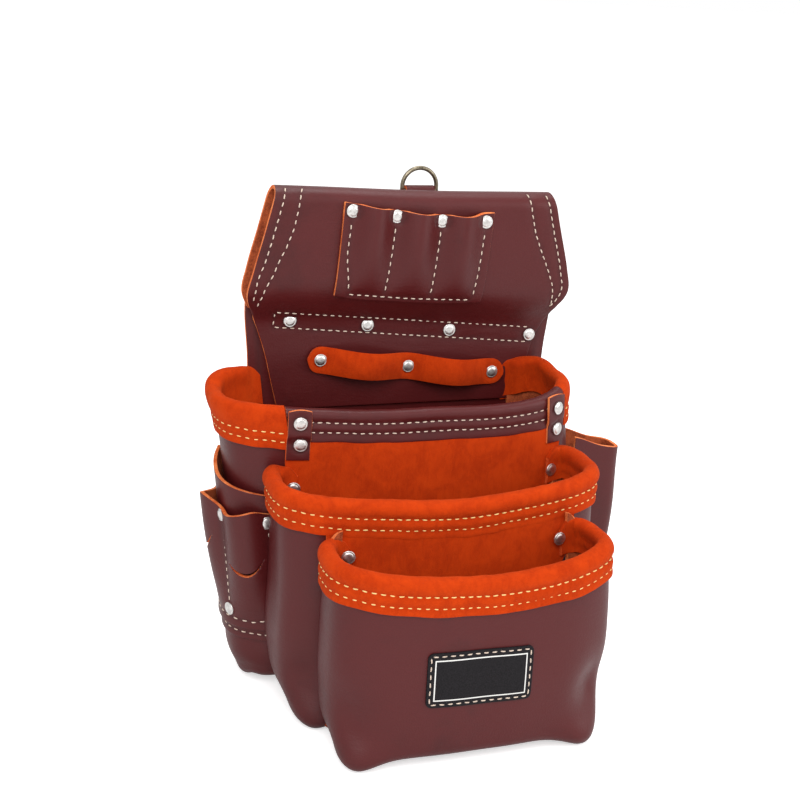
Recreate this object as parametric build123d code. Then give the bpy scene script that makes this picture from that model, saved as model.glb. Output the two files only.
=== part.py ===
from build123d import *

import math
import os

# A leather tool pouch that hangs on a belt. +X is to the right as seen from the front, +Y points back to
# the wearer's hip and +Z is up. Sizes are in millimetres. The model is drawn with the back panel's rear
# face at y = 0 and the bag floors at z = 0, and is moved so that its box stands centred on the origin.

# Material and clearances
hide = 2.4  # smooth burgundy leather
split = 1.8  # orange suede
seat = 0.05  # room round a rivet in its leather
gap = 0.3  # room between the ring and its tab

# Outline of a bag in plan: a flat back, rounded sides and a crowned front
corner_power = 3.2  # higher is squarer
side_share = 0.42  # how far down the depth the bag is widest
outline_steps = 20
section_step = 32.0  # most height between two sections of a bag
rises = (0.0, 0.35, 0.7, 1.0)  # sections of a pocket, from its foot to its top
opened_past = 6.0  # how far a hollow runs out through the open back

# Back panel, as (half width, height) corners from the top down
pouch_top = 300.0
panel_outline = [(80, 290), (99, 235), (97, 192), (97, 34), (85, 3)]
panel_corner = 8.0

# Belt flap: it laps inside the panel, folds over the top and is sewn down below the belt
flap_outline = [(82.5, 314), (103, 235), (88.5, 200), (77, 155)]
flap_corner = 12.0
flap_face = 21.0  # how far its front stands off the panel's rear face
flap_tail = 162.0
flap_lap = 64.0  # how far it laps down behind the belt
belt_low = 235.0  # the flap stands off down to here
belt_seam = 219.0  # and lies on the panel from here
seam_rivet_drop = 2.5
seam_fall = 0.09  # how far the belt seam falls for each mm to the right
seam_rivets = [-73.0, -24.0, 30.0, 85.0]

# Ring and its tab
ring_x = 7.5
ring_z = 294.0
ring_inside = 19.2
ring_wire = 2.6
ring_leg = 3.0
tab_strap = 2.0
tab_width = 18.2
tab_drop = 32.0
tab_rivet_rise = 10.0

# Bags, as (height, half width left, half width right, depth) from the floor up
rear_levels = [(0, 101, 92, 54), (14, 109, 101, 60), (45, 111, 107, 62), (110, 113, 105, 62),
               (155, 119, 100, 62), (200, 126, 93, 62)]
mid_levels = [(0, 84, 83, 56), (12, 91, 90, 57), (42, 97, 96, 57), (90, 98, 97, 55), (165, 100, 95, 53)]
front_levels = [(0, 71, 76, 55), (12, 77, 82, 56), (42, 82, 88, 56), (80, 82, 87, 53), (138, 80, 80, 51)]
rear_tuck = 0.50  # how far the sides turn in behind their widest place, as a share of the depth
mid_tuck = 0.72
front_tuck = 0.60
nest = 7.0  # how far a bag's back stands behind the crown of the bag that it is sewn to

# Lips of the bags: height at the ends and in the middle of the front, and how deep the binding is
rear_lip = (184.0, 177.0)
mid_lip = (146.0, 138.5)
front_lip = (121.0, 113.5)
rear_band = 22.0
front_band = 17.0
bag_band = 20.0
binding_half = 86.0

# End tabs over the ends of the front binding
end_tab_in = 74.0
end_tab_out = 88.0
end_tab_top = 182.5
end_tab_low = 152.0
end_tab_rivets = [174.0, 160.0]

# Strip of three loops on the belt flap
strip_middle = (-2.0, 262.0)  # (x, z)
strip_lean = 3.8  # degrees clockwise as seen from the front
strip_height = 57.0
strip_ends = [-47.0, 47.0]  # from its middle
strip_bulge = 8.0
strip_rivets = [-42.0, -15.0, 13.5, 42.0]
strip_rivet_drop = 6.0  # from its top edge

# Suede strap of two loops for pliers, below the belt seam
strap_middle = (3.5, 187.0)  # (x, z)
strap_lean = 5.9
strap_height = 17.0
strap_half = 65.0
strap_bulge = 9.0
strap_rivets = [-57.0, 0.0, 57.0]

# Pockets round the left side of the rear bag, placed by their angle round its outline in degrees
sleeve_ends = [160.0, 220.0]
sleeve_low = 36.0
sleeve_bulge = 5.0
sleeve_back = (-15.0, 146.0)  # (y, z) of the top edge at the back
sleeve_front = (-55.0, 126.0)  # and at the front
holder_joints = [170.0, 190.0, 213.0]
holder_low = 44.0
holder_top = 121.0
holder_bulge = 7.5
holder_margin = 3.0
holder_rivets = [(190.0, 114.0), (213.0, 113.0), (190.0, 52.0)]

# Wrench sheath on the right side of the rear bag, as (height, reach in x, half thickness)
sheath_levels = [(14, 124, 6), (60, 135, 9), (155, 137, 11)]
sheath_y = -36.0
sheath_inner = (106.0, 147.0)  # (x, z) of the top edge by the bag
sheath_outer = (138.0, 138.0)  # and at the outer side
sheath_root = 90.0
sheath_corner = 7.0

# Label patch on the front bag
patch_x = -1.0
patch_z = 55.5
patch_width = 62.0
patch_height = 31.5
patch_thick = 1.4
patch_corner = 2.0
patch_tilt = 1.0

# Rivets
cap_radius = 4.0
cap_rise = 1.5
post_radius = 1.6
burr_radius = 3.4
burr_thick = 1.0
longest_grip = 16.0
mid_rivet = (80.0, 133.0)
front_rivet = (62.0, 120.0)


def rim_point(size, back, tuck, grow, angle):
    """A point of a bag's outline, moved out from its wall by grow. 180 degrees is the left, 270 the front."""
    left, right, depth = size
    across, along = math.cos(math.radians(angle)), math.sin(math.radians(angle))
    half = left if across < 0 else right
    deep = tuck * depth if along > 0 else (1 - side_share) * depth
    x = half * math.copysign(abs(across) ** (2 / corner_power), across)
    y = deep * math.copysign(abs(along) ** (2 / corner_power), along)
    slope_x = math.copysign(abs(x / half) ** (corner_power - 1), x) / half
    slope_y = math.copysign(abs(y / deep) ** (corner_power - 1), y) / deep
    length = math.hypot(slope_x, slope_y)
    return x + grow * slope_x / length, back - side_share * depth + y + grow * slope_y / length


def spread(first, last, count):
    """Evenly spaced numbers from first to last."""
    return [first + (last - first) * i / count for i in range(count + 1)]


def size_at(levels, height):
    """A bag's half widths and depth at any height."""
    for low, high in zip(levels, levels[1:]):
        if low[0] <= height <= high[0]:
            share = (height - low[0]) / (high[0] - low[0])
            return [a + (b - a) * share for a, b in zip(low[1:], high[1:])]


def bag(levels, back, tuck, grow=0.0, opened=False):
    """The filled shape of a bag, its walls moved out by grow. An opened one runs out through the back."""
    reach = math.degrees(math.asin((side_share / tuck) ** (corner_power / 2)))
    angles = spread(180 - reach, 360 + reach, outline_steps)
    heights = [levels[0][0]]
    for low, high in zip(levels, levels[1:]):
        heights += spread(low[0], high[0], math.ceil((high[0] - low[0]) / section_step))[1:]
    faces = []
    for height in heights:
        size = size_at(levels, height)
        points = [rim_point(size, back, tuck, grow, angle) for angle in angles]
        points[0], points[-1] = (points[0][0], back), (points[-1][0], back)
        round_edge = Spline([(x, y, height) for x, y in points])
        close = [(*points[-1], height), (*points[0], height)]
        if opened:
            past = back + opened_past
            close[1:1] = [(points[-1][0], past, height), (points[0][0], past, height)]
        faces.append(Face(Wire([round_edge, *Polyline(close).edges()])))
    return loft(faces)


def between(low, high):
    """A box from its lowest to its highest corner."""
    middle = [(a + b) / 2 for a, b in zip(low, high)]
    return Pos(*middle) * Box(*[b - a for a, b in zip(low, high)])


def under_lip(lip, half, drop=0.0, wide=200.0, floor=-20.0):
    """Everything below a lip that sags in the middle."""
    ends = lip[0] - drop
    arc = ThreePointArc((-half, 0, ends), (0, 0, lip[1] - drop), (half, 0, ends))
    rest = Polyline((half, 0, ends), (wide, 0, ends), (wide, 0, floor), (-wide, 0, floor), (-wide, 0, ends),
                    (-half, 0, ends))
    face = Face(Wire([arc, *rest.edges()]))
    return Pos(0, 100, 0) * extrude(face, amount=400, dir=(0, -1, 0))


def upright(corners, radius, deep):
    """A slab that stands on y = 0 and runs forward, with its corners listed down its right side."""
    outline = [(x, 0, z) for x, z in corners] + [(-x, 0, z) for x, z in reversed(corners)]
    face = Face(Wire(Polyline(*outline, close=True).edges()))
    return extrude(face.fillet_2d(radius, face.vertices()), amount=deep, dir=(0, -1, 0))


def strap_path(points, radii, thick, low, high):
    """A strap seen from its side: a path of (y, z) points with rounded corners, from x low to x high."""
    path = FilletPolyline(*points, radius=radii)
    face = make_face(offset(path, amount=thick / 2, side=Side.BOTH, kind=Kind.TANGENT).edges())
    plane = Plane(origin=(low, 0, 0), x_dir=(0, 1, 0), z_dir=(1, 0, 0))
    return extrude(plane * face, amount=high - low)


def wave(steps, joints, bulge):
    """How far a strip of loops stands off at each step: nothing at its joints and most half way between."""
    stands = [0.0] * len(steps)
    for low, high in zip(joints, joints[1:]):
        for i, place in enumerate(steps):
            if low <= place <= high:
                stands[i] = bulge * math.sin(math.pi * (place - low) / (high - low)) ** 2
    return stands


def strip_face(inner, outer):
    """The plan of a strip between its inner and outer points."""
    sides = [Line(inner[-1], outer[-1]), Line(outer[0], inner[0])]
    return Face(Wire([Spline(inner), sides[0], Spline(outer[::-1]), sides[1]]))


def flat_loops(ends, joints, bulge, face_y, thick, low, high, closed=False):
    """A strip of loops that lies on the plane y = face_y. A closed one has its foot sewn flat."""
    steps = spread(*ends, 36)
    faces = []
    for share in rises:
        height = low + (high - low) * share
        rise = math.sin(math.pi / 2 * share) if closed else 1.0
        stands = [stand * rise for stand in wave(steps, joints, bulge)]
        inner = [(x, face_y - s, height) for x, s in zip(steps, stands)]
        outer = [(x, face_y - s - thick, height) for x, s in zip(steps, stands)]
        faces.append(strip_face(inner, outer))
    return loft(faces)


def lean_over(middle, lean):
    """The place of a strip that lies on the flap and is turned about its middle."""
    return Pos(middle[0], 0, middle[1]) * Rot(0, lean, 0)


def round_pocket(ends, joints, bulge, base, low, high, thick=hide):
    """A pocket that lies round the left of the rear bag, closed at its foot and open at its top."""
    steps = spread(*ends, 24)
    faces = []
    for share in rises:
        height = low + (high - low) * share
        size = size_at(rear_levels, height)
        rise = math.sin(math.pi / 2 * share)
        stands = [s * rise + b for s, b in zip(wave(steps, joints, bulge), base(steps, height))]
        rims = []
        for extra in (0.0, thick):
            points = [rim_point(size, rear_back, rear_tuck, s + extra, a) for a, s in zip(steps, stands)]
            rims.append([(x, y, height) for x, y in points])
        faces.append(strip_face(*rims))
    return loft(faces)


def rivet(layers, start, toward):
    """A rivet along a line through layers of leather: its cap and post, its burr, and the room for both."""
    line = Axis(start, toward)
    hits = [point for layer in layers for point, _ in layer.find_intersection_points(line)]
    depths = sorted((point - line.position).dot(line.direction) for point in hits)
    depths = [depth for depth in depths if depth > 0]
    grip = max(depth for depth in depths if depth < depths[0] + longest_grip) - depths[0]
    plane = Plane(origin=line.position + line.direction * depths[0], z_dir=-line.direction)
    up, down = (Align.CENTER, Align.CENTER, Align.MIN), (Align.CENTER, Align.CENTER, Align.MAX)
    dome = Cylinder(cap_radius, cap_rise, align=up)
    dome = fillet(dome.edges().sort_by(Axis.Z)[-1], cap_rise * 0.7)
    post = Cylinder(post_radius, grip + burr_thick, align=down)
    burr = Pos(0, 0, -grip) * Cylinder(burr_radius, burr_thick, align=down) - post
    room = Pos(0, 0, -seat) * Cylinder(cap_radius + seat, 2 * cap_rise, align=up)
    room += Cylinder(post_radius + seat, grip + 2 * burr_thick, align=down)
    room += Pos(0, 0, -grip) * Cylinder(burr_radius + seat, 2 * burr_thick, align=down)
    return plane * (dome + post), plane * burr, plane * room


parts = {}

# Where the bags stand, one in front of the other
rear_back = -hide
rear_face = rear_back - rear_levels[3][3]
mid_back = rear_face + nest
mid_face = mid_back - mid_levels[3][3]
front_back = mid_face - split + nest
rear_full = bag(rear_levels, rear_back, rear_tuck)
mid_full = bag(mid_levels, mid_back, mid_tuck)
front_full = bag(front_levels, front_back, front_tuck)
rear_lined = bag(rear_levels, rear_back, rear_tuck, split)
mid_lined = bag(mid_levels, mid_back, mid_tuck, split)
rear_half = between((-200, -300, 0), (200, rear_back - side_share * rear_levels[3][3], 400))
mid_half = between((-200, -300, 0), (200, mid_back - side_share * mid_levels[3][3], 400))


def bag_body(full, levels, back, tuck, lip, behind):
    """A bag's wall and floor, open at the top and at the back, fitted to what is behind it."""
    hollow = bag(levels, back, tuck, -hide, opened=True) & between((-200, -300, hide), (200, 100, 400))
    return ((full - hollow) & under_lip(lip, levels[-1][1], drop=split)) - behind


def bag_binding(body, levels, back, tuck, lip, band, behind):
    """A strip folded over a bag's rim, equally deep inside and out."""
    outside = bag(levels, back, tuck, split)
    inside = bag(levels, back, tuck, -hide - split, opened=True)
    half = levels[-1][1]
    strip = ((outside - inside) & under_lip(lip, half)) - under_lip(lip, half, drop=band)
    return (strip - body) - behind


# Back panel
parts["back_panel"] = upright(panel_outline, panel_corner, hide)

# Belt flap
lay = -hide * 3 / 2  # middle of the flap where it lies on the panel
off = -flap_face + hide / 2  # and where it stands off for the belt
fold = (lay - off) / 2 - 0.05
flap_profile = [(lay, pouch_top - fold - flap_lap), (lay, pouch_top - hide / 2), (off, pouch_top - hide / 2),
                (off, belt_low), (lay, belt_seam), (lay, flap_tail)]
parts["belt_flap"] = strap_path(flap_profile, [fold, fold, 12, 8], hide, -130, 130)
parts["belt_flap"] &= upright(flap_outline, flap_corner, 60)

# Rear bag, with suede binding round its sides and a leather one over the front
behind_rear = [parts["back_panel"], parts["belt_flap"]]
parts["rear_bag_body"] = bag_body(rear_full, rear_levels, rear_back, rear_tuck, rear_lip, behind_rear)
rim = [parts["rear_bag_body"], rear_levels, rear_back, rear_tuck, rear_lip]
side_binding = bag_binding(*rim, rear_band, behind_rear)
front_zone = between((-binding_half, -300, 0), (binding_half, 0, 400))
parts["rear_binding_left"] = side_binding & between((-200, -300, 0), (-binding_half, 100, 400))
parts["rear_binding_right"] = side_binding & between((binding_half, -300, 0), (200, 100, 400))
parts["rear_binding_front"] = bag_binding(*rim, front_band, behind_rear) & rear_half & front_zone

# Suede wall sewn to the front of the rear bag, which is the back of the middle bag
suede = (rear_lined - rear_full) & rear_half & front_zone
parts["mid_bag_back"] = suede & under_lip(rear_lip, rear_levels[-1][1], drop=front_band)

# Burgundy tabs over the ends of the front binding
rear_tabbed = bag(rear_levels, rear_back, rear_tuck, 2 * split)
for side, name in ((-1, "left"), (1, "right")):
    ends = sorted((side * end_tab_in, side * end_tab_out))
    tab = rear_tabbed & between((ends[0], -300, end_tab_low), (ends[1], -40, end_tab_top))
    parts[f"end_tab_{name}"] = tab - rear_lined

# Middle bag
parts["mid_bag_body"] = bag_body(mid_full, mid_levels, mid_back, mid_tuck, mid_lip, rear_lined)
rim = [parts["mid_bag_body"], mid_levels, mid_back, mid_tuck, mid_lip]
parts["mid_bag_binding"] = bag_binding(*rim, bag_band, rear_lined)

# Suede wall sewn to the front of the middle bag, and the front bag
suede = (mid_lined - mid_full) & mid_half & between((-84, -300, 0), (84, 0, 400))
parts["front_bag_back"] = suede & under_lip(mid_lip, mid_levels[-1][1], drop=bag_band)
parts["front_bag_body"] = bag_body(front_full, front_levels, front_back, front_tuck, front_lip, mid_lined)
rim = [parts["front_bag_body"], front_levels, front_back, front_tuck, front_lip]
parts["front_bag_binding"] = bag_binding(*rim, bag_band, mid_lined)

# Label patch
slab = Box(patch_width, 100, patch_height)
slab = fillet(slab.edges().filter_by(Axis.Y), patch_corner)
slab = Pos(patch_x, front_back - front_levels[2][3], patch_z) * Rot(0, patch_tilt, 0) * slab
parts["label_patch"] = (bag(front_levels, front_back, front_tuck, patch_thick) - front_full) & slab

# Strips of loops on the belt flap
strip_place = lean_over(strip_middle, strip_lean)
loops = flat_loops(strip_ends, strip_rivets, strip_bulge, -flap_face, hide, -strip_height / 2, strip_height / 2,
                   closed=True)
parts["loop_strip"] = strip_place * loops
strap_place = lean_over(strap_middle, strap_lean)
loops = flat_loops([-strap_half, strap_half], strap_rivets, strap_bulge, -2 * hide, split, -strap_height / 2,
                   strap_height / 2)
parts["plier_strap"] = strap_place * loops

# Pockets on the left side: a wide sleeve, and a double holder over it
sink = 0.8  # drawn this far into what they lie on, and then cut back to it


def on_bag(steps, height):
    return [-sink] * len(steps)


def on_sleeve(steps, height):
    rise = math.sin(math.pi / 2 * min(1.0, max(0.0, (height - sleeve_low) / (sleeve_back[1] - sleeve_low))))
    return [s * rise + hide - sink for s in wave(steps, sleeve_ends, sleeve_bulge)]


sleeve = round_pocket(sleeve_ends, sleeve_ends, sleeve_bulge, on_bag, sleeve_low, sleeve_back[1])
slant = Polyline((0, *sleeve_back), (0, *sleeve_front), (0, -100, sleeve_front[1] - 24), (0, -100, 260),
                 (0, 40, 260), (0, 40, sleeve_back[1]), close=True)
sleeve -= Pos(-200, 0, 0) * extrude(Face(Wire(slant.edges())), amount=200, dir=(1, 0, 0))
parts["side_sleeve"] = sleeve - rear_full
holder_ends = [holder_joints[0] - holder_margin, holder_joints[-1] + holder_margin]
holder = round_pocket(holder_ends, holder_joints, holder_bulge, on_sleeve, holder_low, holder_top)
parts["double_holder"] = holder - rear_full - sleeve

# Wrench sheath
sheath_full, sheath_hollow = [], []
for height, reach, half_thick in sheath_levels:
    for grow, faces in ((0.0, sheath_full), (-hide, sheath_hollow)):
        width, deep = reach - sheath_root + grow, 2 * (half_thick + grow)
        plan = RectangleRounded(width, deep, min(sheath_corner, deep * 0.4))
        faces.append(Pos(sheath_root + width / 2, sheath_y, height) * plan)
above_foot = between((0, -300, sheath_levels[0][0] + hide), (200, 0, 400))
sheath = loft(sheath_full) - (loft(sheath_hollow) & above_foot)
slant = Polyline((sheath_root, 0, sheath_inner[1] + 4), (sheath_inner[0], 0, sheath_inner[1]),
                 (sheath_outer[0], 0, sheath_outer[1]), (200, 0, 120), (200, 0, 260), (sheath_root, 0, 260),
                 close=True)
sheath -= extrude(Face(Wire(slant.edges())), amount=100, dir=(0, -1, 0))
parts["wrench_sheath"] = sheath - rear_full

# Ring and its tab, which is folded round the ring's bar and riveted to the panel
tab_inside = ring_wire / 2 + gap
ring_y = tab_inside + tab_strap
bend = tab_inside + tab_strap / 2
tab_low = ring_z - tab_drop
tab_side = [(ring_y - bend, tab_low), (ring_y - bend, ring_z + bend), (ring_y + bend, ring_z + bend),
            (ring_y + bend, tab_low)]
parts["ring_tab"] = strap_path(tab_side, bend - 0.01, tab_strap, ring_x - tab_width / 2, ring_x + tab_width / 2)
bow = (ring_inside + ring_wire) / 2
ring_line = [Line((-bow, 0, 0), (bow, 0, 0)), Line((bow, 0, 0), (bow, 0, ring_leg)),
             ThreePointArc((bow, 0, ring_leg), (0, 0, ring_leg + bow), (-bow, 0, ring_leg)),
             Line((-bow, 0, ring_leg), (-bow, 0, 0))]
ring_wire_face = Plane(origin=(0, 0, 0), x_dir=(0, 1, 0), z_dir=(1, 0, 0)) * Circle(ring_wire / 2)
ring = sweep(ring_wire_face, path=Wire(ring_line), transition=Transition.ROUND)
parts["d_ring"] = Pos(ring_x, ring_y, ring_z) * ring

# Rivets, as groups of caps with their posts and groups of burrs
rear_wall = [parts[name] for name in ("rear_bag_body", "rear_binding_front", "mid_bag_back")]
left_tab, right_tab = parts["end_tab_left"], parts["end_tab_right"]
flap_layers = [parts["belt_flap"], parts["back_panel"]]


def from_front(x, z, place=Pos(0, 0, 0)):
    return (place * Pos(x, -300, z)).position, (0, 1, 0)


def from_behind(x, z):
    return (x, 100, z), (0, -1, 0)


def from_left(angle, z):
    """A line in towards the left wall of the rear bag, at right angles to it."""
    size = size_at(rear_levels, z)
    near = rim_point(size, rear_back, rear_tuck, 0, angle)
    far = rim_point(size, rear_back, rear_tuck, 40, angle)
    return (*far, z), (near[0] - far[0], near[1] - far[1], 0)


places = {
    "strip": [([parts["loop_strip"], parts["belt_flap"]],
               from_front(x, strip_height / 2 - strip_rivet_drop, strip_place)) for x in strip_rivets],
    "belt_seam": [(flap_layers, from_front(x, belt_seam - seam_rivet_drop - seam_fall * (x - seam_rivets[0])))
                  for x in seam_rivets],
    "plier_strap": [([parts["plier_strap"], *flap_layers], from_front(x, 0, strap_place)) for x in strap_rivets],
    "end_tab": [([tab, *rear_wall], from_front(x, z)) for x, tab in ((-80, left_tab), (80, right_tab))
                for z in end_tab_rivets],
    "holder": [([parts["double_holder"], sleeve - rear_full, parts["rear_bag_body"]], from_left(angle, z))
               for angle, z in holder_rivets],
    "mid_bag": [([parts["mid_bag_back"], parts["rear_bag_body"]], from_front(x, mid_rivet[1]))
                for x in (-mid_rivet[0], mid_rivet[0])],
    "front_bag": [([parts["front_bag_back"], parts["mid_bag_body"]], from_front(x, front_rivet[1]))
                  for x in (-front_rivet[0], front_rivet[0])],
    "ring_tab": [([parts["ring_tab"], parts["back_panel"]], from_behind(ring_x, tab_low + tab_rivet_rise))],
}
leathers = [name for name in parts if name != "d_ring"]
for group, rivets in places.items():
    caps, burrs = [], []
    for layers, (start, toward) in rivets:
        cap, burr, room = rivet(layers, start, toward)
        caps.append(cap)
        burrs.append(burr)
        for name in leathers:
            if parts[name].bounding_box().overlaps(room.bounding_box()):
                parts[name] -= room
    parts[f"rivets_{group}"] = Compound(caps)
    parts[f"burrs_{group}"] = Compound(burrs)

# Stand the whole on its base, centred on its box
box = Compound([solid for shape in parts.values() for solid in shape.solids()]).bounding_box()
shift = Pos(-box.center().X, -box.center().Y, -box.min.Z)
os.makedirs("parts", exist_ok=True)
for name, shape in parts.items():
    export_step(shift * shape, f"parts/{name}.step")
print("moved by", tuple(shift.position))
for name, shape in parts.items():
    print(name, len(shape.solids()), "solid(s)")
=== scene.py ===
import math

import bpy
import numpy as np
from mathutils import Matrix, Vector


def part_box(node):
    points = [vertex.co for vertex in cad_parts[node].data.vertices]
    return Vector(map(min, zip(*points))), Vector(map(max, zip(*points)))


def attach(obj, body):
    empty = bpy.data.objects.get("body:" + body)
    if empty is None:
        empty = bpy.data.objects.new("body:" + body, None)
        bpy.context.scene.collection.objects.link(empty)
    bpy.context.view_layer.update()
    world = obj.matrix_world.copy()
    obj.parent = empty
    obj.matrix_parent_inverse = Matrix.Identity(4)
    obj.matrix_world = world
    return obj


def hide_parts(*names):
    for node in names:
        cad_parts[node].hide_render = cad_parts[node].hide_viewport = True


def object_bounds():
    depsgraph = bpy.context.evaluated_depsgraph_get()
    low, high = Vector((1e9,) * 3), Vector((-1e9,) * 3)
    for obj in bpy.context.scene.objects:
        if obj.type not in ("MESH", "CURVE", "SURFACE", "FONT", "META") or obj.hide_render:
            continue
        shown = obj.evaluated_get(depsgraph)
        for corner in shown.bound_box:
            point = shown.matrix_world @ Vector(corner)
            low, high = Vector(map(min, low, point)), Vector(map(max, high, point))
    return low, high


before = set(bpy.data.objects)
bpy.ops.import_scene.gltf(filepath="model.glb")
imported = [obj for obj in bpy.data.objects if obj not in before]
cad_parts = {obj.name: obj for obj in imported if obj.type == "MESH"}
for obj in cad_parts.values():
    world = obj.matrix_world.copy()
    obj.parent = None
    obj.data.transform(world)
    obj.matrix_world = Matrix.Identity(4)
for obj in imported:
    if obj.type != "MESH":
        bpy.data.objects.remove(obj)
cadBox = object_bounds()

# Leather tool pouch. Sheets are worked out in millimetres: x to the right, y back from the rear face of the
# back panel, z up from the bag floors. toFrame takes them to the frame, in metres.
panelLow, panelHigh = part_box("back_panel")
rearOrigin = np.array([(panelLow[0] + panelHigh[0]) / 2, panelHigh[1], cadBox[0][2]])
hide = 2.4    # smooth leather
split = 1.8   # suede


def toFrame(points):
    return np.asarray(points) / 1000 + rearOrigin


def rgb(red, green, blue):
    shares = [c / 255 for c in (red, green, blue)]
    return [((c + 0.055) / 1.055) ** 2.4 if c > 10 / 255 else c / 12.92 for c in shares] + [1]


# ---- shading

class Wire:
    def __init__(self, tree, socket=None):
        self.tree, self.socket = tree, socket

    def node(self, kind, settings=None, values=None, output=0):
        made = self.tree.nodes.new(kind)
        for key, value in (settings or {}).items():
            setattr(made, key, value)
        for key, value in (values or {}).items():
            if isinstance(value, Wire):
                self.tree.links.new(value.socket, made.inputs[key])
            else:
                made.inputs[key].default_value = value
        return Wire(self.tree, made.outputs[output])

    def maths(self, kind, *sides):
        return self.node("ShaderNodeMath", {"operation": kind}, dict(enumerate(sides)))

    def __add__(self, other):
        return self.maths("ADD", self, other)

    def __radd__(self, other):
        return self.maths("ADD", other, self)

    def __sub__(self, other):
        return self.maths("SUBTRACT", self, other)

    def __rsub__(self, other):
        return self.maths("SUBTRACT", other, self)

    def __mul__(self, other):
        return self.maths("MULTIPLY", self, other)

    def __rmul__(self, other):
        return self.maths("MULTIPLY", other, self)

    def between(self, low, high):
        return self.node("ShaderNodeMapRange", {"interpolation_type": "SMOOTHSTEP"},
                         {"Value": self, "From Min": low, "From Max": high})

    def mix(self, low, high):
        made = self.tree.nodes.new("ShaderNodeMix")
        made.data_type = "RGBA"
        self.tree.links.new(self.socket, made.inputs["Factor"])
        for key, value in (("A", low), ("B", high)):
            socket = [s for s in made.inputs if s.name == key and s.type == "RGBA"][0]
            if isinstance(value, Wire):
                self.tree.links.new(value.socket, socket)
            else:
                socket.default_value = value
        return Wire(self.tree, [s for s in made.outputs if s.type == "RGBA"][0])


def newMaterial(name):
    made = bpy.data.materials.new(name)
    made.use_nodes = True
    tree = made.node_tree
    shader = tree.nodes["Principled BSDF"]
    return made, Wire(tree), shader


def feed(shader, **links):
    for key, value in links.items():
        socket = shader.inputs[key.replace("_", " ")]
        if isinstance(value, Wire):
            value.tree.links.new(value.socket, socket)
        else:
            socket.default_value = value


def noise(wire, place, scale, detail=2.0, rough=0.5, warp=0.0):
    values = {"Vector": place, "Scale": scale, "Detail": detail, "Roughness": rough, "Distortion": warp}
    return wire.node("ShaderNodeTexNoise", {}, values)


def bump(wire, height, strength, distance, normal=None):
    values = {"Height": height, "Strength": strength, "Distance": distance}
    if normal:
        values["Normal"] = normal
    return wire.node("ShaderNodeBump", {}, values)


def objectPlace(wire, scale=(1, 1, 1)):
    place = wire.node("ShaderNodeTexCoord", {}, {}, 3)
    return wire.node("ShaderNodeMapping", {}, {"Vector": place, "Scale": scale})


burgundyLook = {
    "deep": rgb(56, 13, 14),
    "middle": rgb(78, 19, 20),
    "worn": rgb(98, 32, 31),
    "grain": 950,        # pebbles per metre
    "grainDepth": 0.00012,
    "roughness": 0.42,
}


def makeBurgundy():
    look = burgundyLook
    made, wire, shader = newMaterial("burgundyLeather")
    place = objectPlace(wire)
    seam = wire.node("ShaderNodeAttribute", {"attribute_name": "seam"}, {}, 2)
    clouds = noise(wire, place, 16, 4, 0.55, 0.4)
    patches = noise(wire, place, 60, 3, 0.6)
    pebbles = wire.node("ShaderNodeTexVoronoi", {"feature": "SMOOTH_F1"},
                        {"Vector": place, "Scale": look["grain"], "Smoothness": 0.6, "Randomness": 1.0})
    fine = noise(wire, place, 2600, 2, 0.6)
    creases = noise(wire, objectPlace(wire, (1, 1, 3.2)), 95, 5, 0.62, 1.4)
    tone = clouds * 0.7 + patches * 0.3
    colour = tone.between(0.18, 0.50).mix(look["deep"], look["middle"])
    worn = (patches * 0.5 + creases * 0.5).between(0.60, 0.82) * 0.25
    colour = worn.mix(colour, look["worn"])
    colour = (seam * 0.62).mix(colour, look["deep"])
    rough = look["roughness"] + (patches - 0.5) * 0.14 + seam * 0.12 + (pebbles - 0.4) * 0.12
    height = bump(wire, creases, 0.25, 0.0005)
    height = bump(wire, pebbles * 0.75 + fine * 0.25, 0.45, look["grainDepth"], height)
    feed(shader, Base_Color=colour, Roughness=rough, Normal=height, Coat_Weight=0.05, Coat_Roughness=0.4,
         Specular_IOR_Level=0.3)
    return made


suedeLook = {
    "shade": rgb(170, 47, 5),
    "nap": rgb(191, 58, 8),
    "brushed": rgb(202, 70, 15),
}


def makeSuede():
    look = suedeLook
    made, wire, shader = newMaterial("orangeSuede")
    place = objectPlace(wire)
    seam = wire.node("ShaderNodeAttribute", {"attribute_name": "seam"}, {}, 2)
    clouds = noise(wire, place, 42, 4, 0.62, 0.9)
    strokes = noise(wire, objectPlace(wire, (1, 1, 0.45)), 320, 3, 0.65, 0.6)
    fibres = noise(wire, place, 2100, 3, 0.7)
    tone = clouds * 0.55 + strokes * 0.3 + fibres * 0.15
    colour = tone.between(0.36, 0.60).mix(look["shade"], look["nap"])
    colour = (tone.between(0.55, 0.72) * 0.4).mix(colour, look["brushed"])
    colour = (seam * 0.55).mix(colour, look["shade"])
    height = bump(wire, strokes, 0.4, 0.0006)
    height = bump(wire, fibres, 0.7, 0.00028, height)
    feed(shader, Base_Color=colour, Roughness=0.95, Normal=height, Sheen_Weight=0.08, Sheen_Roughness=0.5,
         Sheen_Tint=rgb(255, 150, 80), Specular_IOR_Level=0.1)
    return made


def makeFibre(name, shade, light, scale=1500):
    # the cut edge and the flesh side: loose short fibres
    made, wire, shader = newMaterial(name)
    place = objectPlace(wire)
    clouds = noise(wire, place, 120, 3, 0.6)
    fibres = noise(wire, place, scale, 3, 0.7)
    colour = (clouds * 0.55 + fibres * 0.45).between(0.36, 0.62).mix(shade, light)
    feed(shader, Base_Color=colour, Roughness=0.9, Normal=bump(wire, fibres, 0.6, 0.0003),
         Specular_IOR_Level=0.25)
    return made


def makeThread(name, shade, light):
    made, wire, shader = newMaterial(name)
    strands = noise(wire, objectPlace(wire), 2400, 2, 0.6)
    colour = strands.between(0.3, 0.65).mix(shade, light)
    feed(shader, Base_Color=colour, Roughness=0.7, Normal=bump(wire, strands, 0.5, 0.0001))
    return made


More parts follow.
